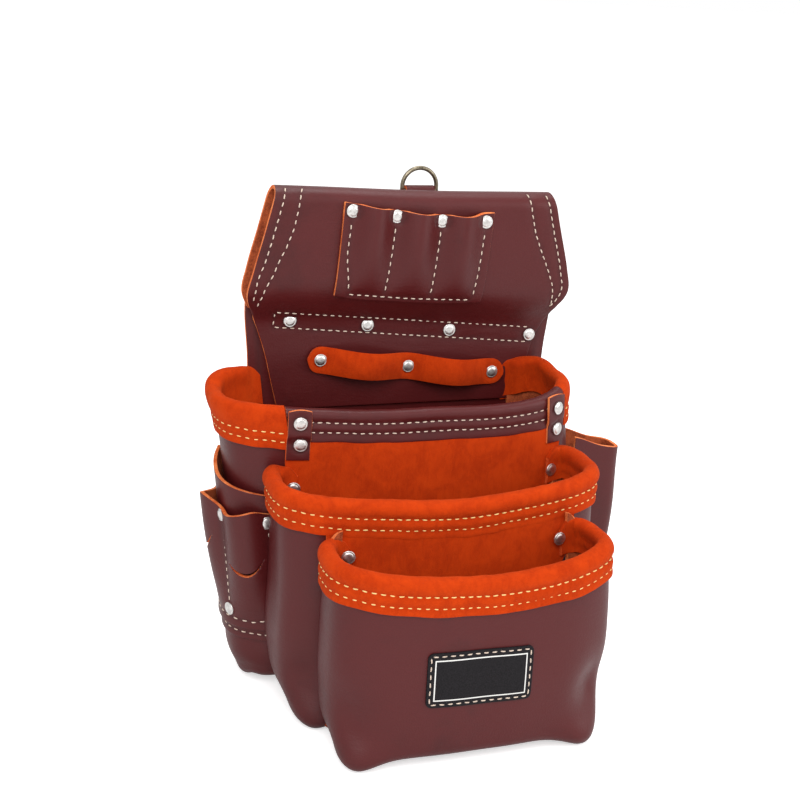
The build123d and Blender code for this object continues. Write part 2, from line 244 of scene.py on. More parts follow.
def makeMetal(name, shade, light, rough):
    made, wire, shader = newMaterial(name)
    place = objectPlace(wire)
    haze = noise(wire, place, 420, 4, 0.6, 0.3)
    scratches = noise(wire, objectPlace(wire, (1, 1, 14)), 600, 3, 0.7)
    colour = haze.between(0.3, 0.7).mix(shade, light)
    feed(shader, Base_Color=colour, Roughness=rough + (haze - 0.5) * 0.3 + (scratches - 0.5) * 0.15,
         Normal=bump(wire, haze * 0.6 + scratches * 0.4, 0.25, 0.0002), Metallic=1.0)
    return made


labelLook = {"width": 62, "height": 31.5, "line": 0.75, "inset": 4.2}


def makeLabel():
    # a blank black patch with one fine white line round it
    made, wire, shader = newMaterial("blackPatch")
    look = labelLook
    uv = wire.node("ShaderNodeUVMap", {"uv_map": "UVMap"})
    across = wire.node("ShaderNodeSeparateXYZ", {}, {"Vector": uv}, 0)
    along = wire.node("ShaderNodeSeparateXYZ", {}, {"Vector": uv}, 1)
    offX = wire.maths("ABSOLUTE", across) * 1000 - (look["width"] / 2 - look["inset"])
    offY = wire.maths("ABSOLUTE", along) * 1000 - (look["height"] / 2 - look["inset"])
    edge = wire.maths("ABSOLUTE", wire.maths("MAXIMUM", offX, offY))
    line = 1 - edge.between(look["line"] * 0.35, look["line"] * 0.55)
    grain = noise(wire, objectPlace(wire), 1400, 3, 0.65)
    field = grain.between(0.3, 0.7).mix(rgb(15, 13, 15), rgb(32, 29, 32))
    colour = line.mix(field, rgb(226, 224, 220))
    feed(shader, Base_Color=colour, Roughness=0.7 + grain * 0.2, Normal=bump(wire, grain, 0.5, 0.00015),
         Specular_IOR_Level=0.2)
    return made


burgundy = makeBurgundy()
suede = makeSuede()
rawEdge = makeFibre("rawEdge", rgb(196, 82, 30), rgb(240, 140, 82))
flesh = makeFibre("fleshSide", rgb(118, 48, 24), rgb(176, 84, 46), 1100)
suedeEdge = makeFibre("suedeEdge", rgb(178, 52, 12), rgb(228, 96, 40))
whiteThread = makeThread("whiteThread", rgb(182, 160, 144), rgb(230, 210, 192))
creamThread = makeThread("creamThread", rgb(214, 172, 92), rgb(248, 220, 150))
nickel = makeMetal("nickel", rgb(196, 193, 190), rgb(226, 224, 221), 0.38)
darkNickel = makeMetal("darkNickel", rgb(92, 84, 70), rgb(150, 140, 120), 0.34)
blackPatch = makeLabel()
# a sheet's face, back and cut edge
smoothFaces = (burgundy, burgundy, rawEdge)
suedeFaces = (suede, suede, suedeEdge)
print("materials made:", len(bpy.data.materials))


# ---- curves

def curve(keys, values, at):
    # a smooth curve through a few points
    keys, values, at = np.asarray(keys, float), np.asarray(values, float), np.asarray(at, float)
    at = np.clip(at, keys[0], keys[-1])
    slopes = np.gradient(values, keys)
    i = np.clip(np.searchsorted(keys, at, side="right") - 1, 0, len(keys) - 2)
    gap = keys[i + 1] - keys[i]
    t = (at - keys[i]) / gap
    return ((1 + 2 * t) * (1 - t) ** 2 * values[i] + t * (1 - t) ** 2 * gap * slopes[i]
            + t * t * (3 - 2 * t) * values[i + 1] + t * t * (t - 1) * gap * slopes[i + 1])


def ripple(a, b, size, seed=0):
    # soft unevenness between -1 and 1, the same every run
    total = 0
    for k in range(4):
        turn = seed * 1.7 + k * 2.399
        wave = size * (0.75 + 0.23 * k)
        along = a * math.cos(turn) + b * math.sin(turn)
        total = total + np.sin(2 * math.pi * along / wave + seed + 3.1 * k)
    return total / 4


def bell(offset, width):
    return np.exp(-(offset / width) ** 2)


def cornerInset(near, corner):
    # how far a rounded corner pulls in an edge, near millimetres from its end
    return np.where(near < corner, corner - np.sqrt(np.maximum(corner ** 2 - (corner - near) ** 2, 0)), 0)


def walkAlong(points):
    # the distance along a path at each of its points
    return np.concatenate([[0], np.cumsum(np.linalg.norm(np.diff(points, axis=0), axis=1))])


def lookUp(table, rowKeys, colKeys, row, col):
    r = np.interp(row, rowKeys, np.arange(len(rowKeys)))
    c = np.interp(col, colKeys, np.arange(len(colKeys)))
    r0 = np.minimum(r.astype(int), len(rowKeys) - 2)
    c0 = np.minimum(c.astype(int), len(colKeys) - 2)
    fr, fc = r - r0, c - c0
    if table.ndim == 3:
        fr, fc = fr[:, None], fc[:, None]
    near = table[r0, c0] * (1 - fc) + table[r0, c0 + 1] * fc
    far = table[r0 + 1, c0] * (1 - fc) + table[r0 + 1, c0 + 1] * fc
    return near * (1 - fr) + far * fr


# ---- bag walls

bagShape = {
    "power": 3.2,      # corners of the plan, higher is squarer
    "side": 0.42,      # where the plan is widest, as a share of its depth
    "samples": 300,
    "flangeRound": 9,
    "lipRow": -12,     # the level whose distances round a wall count for all of it
    "floorRows": 0.16,   # share of a body's rows that its floor takes
    "floorReach": 60,
}
# levels are (height, half width left, half width right, depth), and a lip is (x, height)
rearBag = {
    "levels": [(0, 101, 92, 54), (14, 109, 101, 60), (45, 111, 107, 62), (110, 113, 105, 62),
               (155, 119, 100, 62), (200, 126, 93, 62)],
    "back": -2.4, "tuck": 0.50, "lip": [(-127, 184), (-90, 181.5), (0, 177.5), (88, 183), (100, 187)],
    "flange": (6, 7), "round": 8, "sag": 2.0, "ears": 3.0, "folds": 0.9, "rise": 7.0,
    "hitch": [(10, 4), (28, 0), (36, 0), (46, 5), (70, 6)],
}
midBag = {
    "levels": [(0, 84, 83, 56), (12, 91, 90, 57), (42, 97, 96, 57), (90, 98, 97, 55), (165, 100, 95, 53)],
    "back": -57.4, "tuck": 0.72, "lip": [(-101, 146.5), (-60, 142), (-5, 138), (50, 141), (97, 146.5)],
    "flange": (12, 12), "round": 8, "sag": 5.5, "ears": 7.0, "folds": 1.5, "rise": 1.0,
}
frontBag = {
    "levels": [(0, 71, 76, 55), (12, 77, 82, 56), (42, 82, 88, 56), (80, 82, 87, 53), (138, 80, 80, 51)],
    "back": -107.2, "tuck": 0.60, "lip": [(-81, 121), (-45, 116), (5, 112.5), (50, 115.5), (81, 121)],
    "flange": (8, 8), "round": 7, "sag": 6.0, "ears": 8.5, "folds": 1.2, "rise": 1.0, "gusset": 8.0,
}


def planAt(bag, z, behindY):
    # the outline at one height, from the left flange round the front to the right flange
    left, right, depth = [float(curve([r[0] for r in bag["levels"]], [r[k] for r in bag["levels"]], z))
                          for k in (1, 2, 3)]
    reach = math.degrees(math.asin((bagShape["side"] / bag["tuck"]) ** (bagShape["power"] / 2))) - 2
    turn = np.radians(np.linspace(180 - reach, 360 + reach, 160))
    across, along = np.cos(turn), np.sin(turn)
    half = np.where(across < 0, left, right)
    deep = np.where(along > 0, bag["tuck"] * depth, (1 - bagShape["side"]) * depth)
    bend = 2 / bagShape["power"]
    x = half * np.sign(across) * np.abs(across) ** bend
    y = bag["back"] - bagShape["side"] * depth + deep * np.sign(along) * np.abs(along) ** bend
    ends = []
    for side, tip, flange in ((-1, x[0], bag["flange"][0]), (1, x[-1], bag["flange"][1])):
        foot = side * (abs(tip) - 2)
        reach = foot - side * np.linspace(0, flange, 8)
        ends.append(np.stack([reach, behindY(reach, z)], 1))
    points = np.concatenate([ends[0][::-1], np.stack([x, y], 1), ends[1]])
    walk = walkAlong(points)
    fine = np.linspace(0, walk[-1], bagShape["samples"])
    points = np.stack([np.interp(fine, walk, points[:, k]) for k in (0, 1)], 1)
    width = bagShape["flangeRound"]
    kernel = np.hanning(width + 2)[1:-1]
    kernel /= kernel.sum()
    for _ in range(2):
        padded = np.pad(points, ((width // 2, width // 2), (0, 0)), mode="reflect", reflect_type="odd")
        points = np.stack([np.convolve(padded[:, k], kernel, "valid") for k in (0, 1)], 1)
    return points


def outwardOf(points):
    along = np.gradient(points, axis=-2)
    along /= np.linalg.norm(along, axis=-1, keepdims=True)
    return np.stack([along[..., 1], -along[..., 0]], -1)


def makeWall(bag, top, behindY):
    heights = np.linspace(0, top, 64)
    plans = np.stack([planAt(bag, z, behindY) for z in heights])
    out = outwardOf(plans)
    x, y, z = plans[..., 0], plans[..., 1], heights[:, None]
    half = np.abs(x).max(axis=1, keepdims=True)
    frontY = y.min(axis=1, keepdims=True)
    corner = bell(np.abs(x) - half + 9, 16) * bell(y - frontY - 6, 15)
    side = bell(np.abs(x) - half, 14)
    lift = bag["ears"] * corner * bell(z - 4, 15) - 0.8 * bag["ears"] * corner * bell(z - 34, 17)
    folds = bag["folds"] * ripple(x * 1.3 + y, z * 0.16, 34, 3)
    lift += folds * (0.35 + side) * bell(z - top * 0.35, top * 0.4)
    lift += 0.8 * ripple(x, z, 90, 5)
    plans = plans + out * lift[..., None]
    walk = walkAlong(plans[bagShape["lipRow"]])
    wall = {"bag": bag, "heights": heights, "plans": plans, "out": outwardOf(plans), "walk": walk, "top": top,
            "length": walk[-1], "corner": corner[2]}
    acrossX = np.linspace(-96, 96, 193)
    rows = []
    for plan in plans:
        order = plan[(plan[:, 1] < plan[:, 1].min() + 26)]
        order = order[np.argsort(order[:, 0])]
        rows.append(np.interp(acrossX, order[:, 0], order[:, 1]))
    wall["frontX"], wall["frontY"] = acrossX, np.array(rows)
    return wall


def frontOf(wall, x, z):
    return lookUp(wall["frontY"], wall["heights"], wall["frontX"], z, x)


def lipOf(bag, x):
    return curve([p[0] for p in bag["lip"]], [p[1] for p in bag["lip"]], x)


def lipAt(wall, u):
    # the lip's height round a wall; its ends rise to what they are sewn to
    bag = wall["bag"]
    plan = wall["plans"][bagShape["lipRow"]]
    x, y = np.interp(u, wall["walk"], plan[:, 0]), np.interp(u, wall["walk"], plan[:, 1])
    near = np.clip((y - bag["back"] + 26) / 24, 0, 1)
    return lipOf(bag, x) + bag["rise"] * near * near * (3 - 2 * near)


def onWall(wall, u, z, off):
    # a point off the wall, u millimetres round it
    plan = lookUp(wall["plans"], wall["heights"], wall["walk"], z, u)
    out = lookUp(wall["out"], wall["heights"], wall["walk"], z, u)
    out /= np.linalg.norm(out, axis=1, keepdims=True)
    spot = plan + out * np.broadcast_to(np.asarray(off, float), u.shape)[:, None]
    return np.column_stack([spot, z])


rearWall = makeWall(rearBag, 200, lambda x, z: 0 * x - hide - 0.3)
midWall = makeWall(midBag, 150, lambda x, z: frontOf(rearWall, x, 0 * x + z) - split - 0.4)
frontWall = makeWall(frontBag, 125, lambda x, z: frontOf(midWall, x, 0 * x + z) - split - 0.4)


def walkWhere(wall, test, z=100.0):
    # how far round a wall the first sample is that passes the test
    row = int(np.searchsorted(wall["heights"], z))
    plan = wall["plans"][min(row, len(wall["plans"]) - 1)]
    return wall["walk"][int(np.argmax(test(plan[:, 0], plan[:, 1])))]


# ---- sheets of leather

def surface(place, u, v):
    step = 0.4
    spot = place(u, v)
    across = place(u + step, v) - place(u - step, v)
    along = place(u, v + step) - place(u, v - step)
    out = np.cross(across, along)
    out /= np.maximum(np.linalg.norm(out, axis=1, keepdims=True), 1e-9)
    return spot, out


def nearSeam(seams, u, v):
    near = np.full(u.shape, 1e3)
    for seam in seams:
        line = np.asarray(seam["line"], float)
        for (ua, va), (ub, vb) in zip(line, line[1:]):
            du, dv = ub - ua, vb - va
            t = np.clip(((u - ua) * du + (v - va) * dv) / (du * du + dv * dv + 1e-9), 0, 1)
            near = np.minimum(near, np.hypot(u - ua - t * du, v - va - t * dv))
    return near


def onlyThis(piece):
    bpy.ops.object.select_all(action="DESELECT")
    piece.select_set(True)
    bpy.context.view_layer.objects.active = piece


def applyAll(piece):
    onlyThis(piece)
    for modifier in list(piece.modifiers):
        bpy.ops.object.modifier_apply(modifier=modifier.name)


def finishPiece(piece, nodes, body="root"):
    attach(piece, body)
    if nodes:
        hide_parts(*nodes)


def nodeName(name):
    # beltFlap is the look of the node belt_flap
    return "".join("_" + c.lower() if c.isupper() else c for c in name)


stitchLook = {"pitch": 4.8, "length": 3.1, "width": 0.82, "height": 0.75, "sink": 0.45, "groove": 1.25}


def makeStitch():
    # one stitch: a short thread, low where it goes through the leather
    bpy.ops.mesh.primitive_uv_sphere_add(segments=6, ring_count=6, radius=1)
    piece = bpy.context.object
    points = np.array([v.co[:] for v in piece.data.vertices])
    along = np.sign(points[:, 2]) * np.abs(points[:, 2]) ** 0.8
    around = np.maximum(np.hypot(points[:, 0], points[:, 1]), 1e-6)
    fat = np.sqrt(np.clip(1 - np.abs(along) ** 3.0, 0, 1)) / around
    points = np.column_stack([along * stitchLook["length"] / 2, points[:, 0] * fat * stitchLook["width"] / 2,
                              points[:, 1] * fat * stitchLook["height"] / 2 - 0.42 * along ** 4 + 0.16])
    faces = [list(p.vertices) for p in piece.data.polygons]
    bpy.data.objects.remove(piece)
    return points, faces


stitchPoints, stitchFaces = makeStitch()
rivetDent = {"radius": 4.2, "depth": 1.3, "width": 1.1}


def sew(name, place, seams):
    # the threads of all the seams on one sheet, as one piece
    look = stitchLook
    groups = {}
    for seam in seams:
        line = np.asarray(seam["line"], float)
        walk = walkAlong(line)
        count = max(1, int(round((walk[-1] - 1) / look["pitch"])))
        mids = (np.arange(count) + 0.5) * walk[-1] / count
        u, v = np.interp(mids, walk, line[:, 0]), np.interp(mids, walk, line[:, 1])
        ua, va = np.interp(mids + 0.5, walk, line[:, 0]), np.interp(mids + 0.5, walk, line[:, 1])
        ub, vb = np.interp(mids - 0.5, walk, line[:, 0]), np.interp(mids - 0.5, walk, line[:, 1])
        spot, out = surface(place, u, v)
        along = place(ua, va) - place(ub, vb)
        along /= np.linalg.norm(along, axis=1, keepdims=True)
        skew = 0.10 * np.sin(np.arange(count) * 2.3 + line[0, 0])[:, None]
        along = along + np.cross(out, along) * skew
        along /= np.linalg.norm(along, axis=1, keepdims=True)
        side = np.cross(out, along)
        spot = spot - out * (look["sink"] - 0.12)
        groups.setdefault(seam["thread"], []).append((spot, along, side, out))
    for thread, rows in groups.items():
        spot, along, side, out = [np.concatenate([row[k] for row in rows]) for k in range(4)]
        ahead, across, up = [stitchPoints[None, :, k:k + 1] for k in range(3)]
        points = spot[:, None] + ahead * along[:, None] + across * side[:, None] + up * out[:, None]
        size = len(stitchPoints)
        faces = [[i + k * size for i in face] for k in range(len(spot)) for face in stitchFaces]
        mesh = bpy.data.meshes.new(name)
        mesh.from_pydata(toFrame(points.reshape(-1, 3)).tolist(), [], faces)
        label = name if len(groups) == 1 else name + thread.name[:5].capitalize()
        piece = bpy.data.objects.new(label, mesh)
        bpy.context.collection.objects.link(piece)
        mesh.materials.append(thread)
        mesh.shade_smooth()
        finishPiece(piece, [])


def sheet(name, size, shape, place, seams=(), thick=hide, faces=None, relief=None,
          cell=2.6, bevel=0.35, dents=()):
    # a cut sheet: shape trims the unit square to the cut, in mm, and place bends it round the pouch
    cols, rows = max(2, int(size[0] / cell)), max(2, int(size[1] / cell))
    bpy.ops.mesh.primitive_grid_add(x_subdivisions=cols, y_subdivisions=rows, size=2)
    piece = bpy.context.object
    piece.name = piece.data.name = name
    mesh = piece.data
    flat = np.empty(len(mesh.vertices) * 3)
    mesh.vertices.foreach_get("co", flat)
    p, q = (flat[0::3] + 1) / 2, (flat[1::3] + 1) / 2
    u, v = shape(p, q)
    spot, out = surface(place, u, v)
    near = nearSeam(seams, u, v)
    press = bell(near, stitchLook["groove"])
    for dentU, dentV in dents:
        off = np.hypot(u - dentU, v - dentV) - rivetDent["radius"]
        press = np.maximum(press, rivetDent["depth"] * bell(off, rivetDent["width"]))
    off = -stitchLook["sink"] * press
    if relief is not None:
        off = off + relief(u, v)
    spot = spot + out * off[:, None]
    mesh.vertices.foreach_set("co", toFrame(spot).ravel())
    mark = mesh.attributes.new("seam", "FLOAT", "POINT")
    mark.data.foreach_set("value", press.astype(np.float32))
    uv = mesh.uv_layers["UVMap"]
    corner = np.empty(len(mesh.loops), dtype=np.int32)
    mesh.loops.foreach_get("vertex_index", corner)
    uv.data.foreach_set("uv", (np.column_stack([u, v])[corner] / 1000).ravel())
    mesh.update()
    for material in faces or (burgundy, flesh, rawEdge):
        mesh.materials.append(material)
    mesh.shade_smooth()
    onlyThis(piece)
    bpy.ops.object.mode_set(mode="EDIT")
    bpy.ops.mesh.select_all(action="SELECT")
    bpy.ops.mesh.remove_doubles(threshold=0.00005)
    bpy.ops.object.mode_set(mode="OBJECT")
    wall = piece.modifiers.new("thickness", "SOLIDIFY")
    wall.thickness, wall.offset, wall.use_quality_normals = thick / 1000, -1, True
    wall.material_offset, wall.material_offset_rim = 1, 2
    soft = piece.modifiers.new("cutEdge", "BEVEL")
    soft.width, soft.segments = bevel / 1000, 2
    soft.limit_method, soft.angle_limit = "ANGLE", math.radians(50)
    smoother = piece.modifiers.new("smooth", "SUBSURF")
    smoother.levels = smoother.render_levels = 1
    applyAll(piece)
    finishPiece(piece, [nodeName(name)])
    if seams:
        sew(name + "Stitching", place, seams)
    print(name, len(piece.data.polygons), "faces")
    return piece


def seamLine(line, thread=None):
    return {"line": line, "thread": thread or whiteThread}


def roundedEnds(width, low, high, corner):
    # a cut with straight sides and rounded corners, about x = 0
    def cut(p, q):
        v = low + (high - low) * q
        inset = cornerInset(np.minimum(v - low, high - v), corner)
        return (2 * p - 1) * (width / 2 - inset), v
    return cut


# ---- back panel

# outlines are (height, half width)
panelCut = {"outline": [(3, 86), (12, 94.5), (34, 97), (192, 97), (235, 99), (290, 80)],
            "low": 3, "high": 290, "inset": 6.5}


def panelHalf(z):
    rows = panelCut["outline"]
    return curve([r[0] for r in rows], [r[1] for r in rows], z)


def panelShape(p, q):
    v = panelCut["low"] + (panelCut["high"] - panelCut["low"]) * q
    return (2 * p - 1) * panelHalf(v), v


def panelPlace(u, v):
    # seen from behind, so u runs to the left
    return np.column_stack([-u, 0.25 * ripple(u, v, 120, 2), v])


def edgeSeam(half, low, high, inset, steps=40):
    z = np.linspace(low, high, steps)
    return z, half(z) - inset


z, x = edgeSeam(panelHalf, 10, 283, panelCut["inset"])
panelSeams = [seamLine(np.column_stack([x, z])), seamLine(np.column_stack([-x, z]))]
panelSeams.append(seamLine([(-78, 10), (78, 10)]))
beltSeam = {"from": (-73, 218.0), "fall": 0.088, "half": 5.0, "ends": (-83, 84)}


def seamZ(x):
    # the seam below the belt falls to the right
    return beltSeam["from"][1] - beltSeam["fall"] * (np.asarray(x, float) - beltSeam["from"][0])


def beltRows(side=1):
    x = np.linspace(*beltSeam["ends"], 24)
    return [np.column_stack([side * x, seamZ(x) + off]) for off in (-beltSeam["half"], beltSeam["half"])]


panelSeams += [seamLine(row) for row in beltRows(-1)]
sheet("backPanel", (198, 287), panelShape, panelPlace, panelSeams, cell=3.4, faces=smoothFaces)
z, x = edgeSeam(panelHalf, 188, 228, 5.0, 9)
sew("backPanelFrontStitching", lambda u, v: np.column_stack([u, 0 * u - hide, v]),
    [seamLine(np.column_stack([side * x, z])) for side in (-1, 1)])

# ---- belt flap

flapCut = {
    # up the front and over the fold
    "outline": [(162, 78.5), (181, 83.2), (200, 88), (220, 95.5), (236, 102.3), (250, 99.8), (275, 93.2),
                (300, 87)],
    "front": -21.0, "fold": 9.3, "top": 300.0, "lapLow": 226.0, "fall": 3.4,
}


def flapPath():
    # the outside of the flap seen from its side, from the tail up the front, over the fold and down behind
    cut = flapCut
    lower = np.array([(-2 * hide, 162), (-2 * hide, 175), (-2 * hide, 190), (-2 * hide - 0.2, 205),
                      (-6.2, 214), (-8.2, 219), (-13.5, 226), (-18.0, 233), (-20.4, 241), (-21.2, 252),
                      (-21.2, 268), (-21, 281)])
    t = np.linspace(0, 1, 60)
    lower = np.column_stack([curve(np.linspace(0, 1, len(lower)), lower[:, k], t) for k in (0, 1)])
    turn = np.linspace(math.pi, 0, 24)
    middle, crest = (cut["front"] - hide) / 2, cut["top"] - cut["fold"]
    arc = np.column_stack([middle + cut["fold"] * np.cos(turn), crest + cut["fold"] * np.sin(turn)])
    down = np.linspace(crest, cut["lapLow"], 30)[1:]
    lap = np.column_stack([0 * down - hide, down])
    points = np.concatenate([lower, arc, lap])
    walk = walkAlong(points)
    return points, walk


flapPoints, flapWalk = flapPath()
flapLength = flapWalk[-1]
flapTop = flapWalk[np.argmax(flapPoints[:, 1])]


def flapHalf(v):
    height = np.interp(v, flapWalk, flapPoints[:, 1])
    rows = flapCut["outline"]
    return curve([r[0] for r in rows], [r[1] for r in rows], height)


def flapShape(p, q):
    v = flapLength * q
    return (2 * p - 1) * flapHalf(v), v


def flapPlace(u, v):
    z = np.interp(v, flapWalk, flapPoints[:, 1])
    front = np.clip((flapTop - v) / 12, 0, 1)
    lower = front * np.clip(0.05 * (u + 20), -3, 5) * bell(z - 222, 26)
    y = np.interp(v + lower, flapWalk, flapPoints[:, 0])
    stand = np.clip((-y - 5) / 12, 0, 1)
    y = y - front * stand * (0.9 * ripple(u, v, 110, 4) + 1.2 * bell(u, 70) * bell(z - 262, 30))
    sag = 1.2 * bell(u - 8, 60) * bell(v - flapTop, 26)
    sag = sag + flapCut["fall"] * (u + 83) / 166 * bell(v - flapTop, 45)
    return np.column_stack([u, y, z - sag])


def flapRelief(u, v):
    # gathers where the loose part runs into the seam's ends
    height = np.interp(v, flapWalk, flapPoints[:, 1])
    front = np.clip((flapTop - v) / 12, 0, 1)
    where = bell(np.abs(u) - 88, 12) * bell(height - 224, 10) * front
    return where * 0.75 * np.sin((u + 0.9 * height) * 1.25) + 0.12 * ripple(u, v, 26, 7) * front


def flapV(z):
    front = flapWalk <= flapTop
    return np.interp(z, flapPoints[front, 1], flapWalk[front])


def flapEdgeRow(inset, low, high, side):
    z = np.linspace(low, high, 30)
    return np.column_stack([side * (flapHalf(flapV(z)) - inset), flapV(z)])


seamRivets = [-73.0, -24.0, 30.0, 85.0]


def onFlap(points):
    return seamLine([(x, float(flapV(z))) for x, z in points])


flapSeams = [onFlap([(-81, 299.4), (-84, 289), (-89, 270), (-92.5, 258), (-97.0, 246), (-98.3, 232)]),
             onFlap([(-71, 299.4), (-73, 294.5), (-75, 283), (-76.6, 276), (-80.4, 266), (-84.8, 257),
                     (-88.6, 247.5), (-92, 241), (-95.4, 228)]),
             seamLine(flapEdgeRow(5.0, 224, 299.0, 1)),
             onFlap([(70, 299.4), (72.5, 288), (76, 274), (81, 262), (86.5, 250), (91, 239), (93, 226)])]
flapSeams += [onFlap(row) for row in beltRows()]
flapSeams.append(onFlap([row[0] for row in beltRows()]))
seamSpots = [(x, float(flapV(seamZ(x)))) for x in seamRivets]
sheet("beltFlap", (200, flapLength), flapShape, flapPlace, flapSeams, relief=flapRelief, cell=2.7,
      dents=seamSpots)

# ---- loops on the flap

loopStrip = {"middle": (-2.0, 262.0), "lean": 3.8, "ends": (-47, 47), "low": -31.0,
             "rivets": [-42.0, -15.0, 13.5, 42.0], "rivetRise": [23.2, 22.5, 22.0, 23.4], "bulge": 7.5}
plierStrap = {"middle": (3.5, 187.0), "lean": 5.9, "half": 65, "height": 17, "rivets": [-57.0, 0.0, 57.0],
              "bulge": 9.0}


def leanOver(strip, u, v):
    # from along and across a strip to x and z on the flap
    lean, (x, z) = math.radians(strip["lean"]), strip["middle"]
    return x + u * math.cos(lean) + v * math.sin(lean), z - u * math.sin(lean) + v * math.cos(lean)


def loopWave(u, joints, bulge, power=1.6):
    stand = np.zeros_like(u)
    for low, high in zip(joints, joints[1:]):
        t = np.clip((u - low) / (high - low), 0, 1)
        stand += bulge * np.sin(math.pi * t) ** power
    return stand


def stripTopAt(u):
    return curve([-47, -40, -15, 13, 31, 41, 47], [28.0, 27.8, 26.6, 26.2, 27.2, 28.8, 29.6], u)


def stripShape(p, q):
    u = loopStrip["ends"][0] + (loopStrip["ends"][1] - loopStrip["ends"][0]) * p
    low = loopStrip["low"] + 1.6 * (u / 47) ** 2 - 0.4 * ripple(u, 0, 30, 1)
    return u, low + (stripTopAt(u) - low) * q


def stripPlace(u, v):
    x, z = leanOver(loopStrip, u, v)
    base, out = surface(flapPlace, x, flapV(z))
    rise = np.clip((v + 27) / 47, 0, 1)
    stand = loopWave(u, loopStrip["rivets"], loopStrip["bulge"]) * np.sin(rise * math.pi / 2) ** 0.8
    return base + np.array([0, -1, 0]) * (hide + 0.25 + stand)[:, None]


stripSeams = [seamLine([(-39, -27.6), (0, -28.4), (39, -27.6)])]
for x, foot in zip(loopStrip["rivets"], (3.0, -1.5, -1.0, -1.5)):
    stripSeams.append(seamLine([(x, 16), (x - 0.5, -4), (x + foot, -25)]))
stripSpots = list(zip(loopStrip["rivets"], loopStrip["rivetRise"]))
sheet("loopStrip", (112, 60), stripShape, stripPlace, stripSeams, cell=2.0, dents=stripSpots)


def strapShape(p, q):
    end = plierStrap["half"]
    u = end * (2 * p - 1)
    near = np.clip((end - np.abs(u)) / 9, 0, 1)
    half = plierStrap["height"] / 2 * np.sqrt(np.clip(1 - (1 - near) ** 2.2, 0.02, 1))
    return u, half * (2 * q - 1)


def strapPlace(u, v):
    x, z = leanOver(plierStrap, u, v)
    base = flapPlace(x, flapV(z))
    roll = np.clip(np.abs(v / (plierStrap["height"] / 2)), 0, 1)
    stand = loopWave(u, plierStrap["rivets"], plierStrap["bulge"]) + 1.6 * (1 - roll ** 2)
    press = sum(bell(np.hypot(u - x0, v), 6) for x0 in plierStrap["rivets"])
    return base + np.array([0, -1, 0]) * (split + 0.3 + stand - 1.1 * press)[:, None]


strapSpots = [(x, 0) for x in plierStrap["rivets"]]
sheet("plierStrap", (136, 22), strapShape, strapPlace, [], split, suedeFaces, cell=1.7,
      bevel=0.3, dents=strapSpots)
print("belt flap, loops and strap made")


# ---- bag bodies

def bodyPlace(wall):
    bag = wall["bag"]
    arc = bag["round"]
    start = arc - arc * math.pi / 2
    pole = np.array([0.0, bag["back"] - 0.3 * (bag["levels"][0][3])])
    raised = bag["sag"] * (1 - wall["corner"] / wall["corner"].max())
    if "hitch" in bag:
        # the left side's foot is drawn up but for one corner
        plan = wall["plans"][2]
        raised = raised + np.interp(-plan[:, 1], *zip(*bag["hitch"])) * np.clip(-plan[:, 0] / 40, 0, 1)

    def place(u, v):
        up = np.clip(v, arc, None)
        turn = np.clip((arc - v) / arc, 0, math.pi / 2)
        inset = arc * (1 - np.cos(turn))
        spot = onWall(wall, u, up, -inset)
        spot[:, 2] = np.where(v < arc, arc - arc * np.sin(turn), v)
        share = np.clip((start - v) / (start + bagShape["floorReach"]), 0, 1)
        spot[:, :2] = spot[:, :2] + (pole - spot[:, :2]) * share[:, None]
        lift = np.interp(u, wall["walk"], raised) * bell(spot[:, 2], 26) * (1 - 0.6 * share)
        spot[:, 2] += lift
        return spot
    return place, start


def makeBody(name, wall):
    bag = wall["bag"]
    place, start = bodyPlace(wall)

    def shape(p, q):
        u = 5 + (wall["length"] - 10) * p
        end = np.minimum(u, wall["length"] - u)
        top = lipAt(wall, u) - 2.2 + bag.get("gusset", 0) * np.clip((14 - end) / 7, 0, 1)
        # rows: the floor takes the first part, then the turn and the wall
        part = bagShape["floorRows"]
        floor = (start + bagShape["floorReach"]) * (q / part) ** 0.8 - bagShape["floorReach"]
        return u, np.where(q < part, floor, start + (top - start) * (q - part) / (1 - part))

    sheet(name, (wall["length"], wall["top"] + 40), shape, place, cell=3.2)


makeBody("rearBagBody", rearWall)
makeBody("midBagBody", midWall)
makeBody("frontBagBody", frontWall)
print("bag bodies made")


# ---- suede walls between the bags

def wallSheet(name, wall, foot, half, low, topDrop, gapOff):
    bag = wall["bag"]
    arc = bag["round"]

    def shape(p, q):
        top = lipOf(bag, half * (2 * p - 1)) - topDrop
        v = low + (top - low) * q
        widen = np.clip((v - top + 42) / 24, 0, 1)
        return (foot + (half - foot) * widen) * (2 * p - 1), v

    def place(u, v):
        y = frontOf(wall, u, np.clip(v, arc, None)) - gapOff
        y = y + arc * (1 - np.sqrt(np.clip(1 - (np.clip(arc - v, 0, arc) / arc) ** 2, 0, 1)))
        return np.column_stack([u, y, v])

    sheet(name, (2 * half, wall["top"]), shape, place, [], split, suedeFaces,
          lambda u, v: 0.25 * ripple(u, v, 60, 6), 3.4)


wallSheet("midBagBack", rearWall, 82, 88, 8, 17.4, split + 0.2)
wallSheet("frontBagBack", midWall, 64, 76, 8, 19.0, split + 0.2)


# ---- bindings

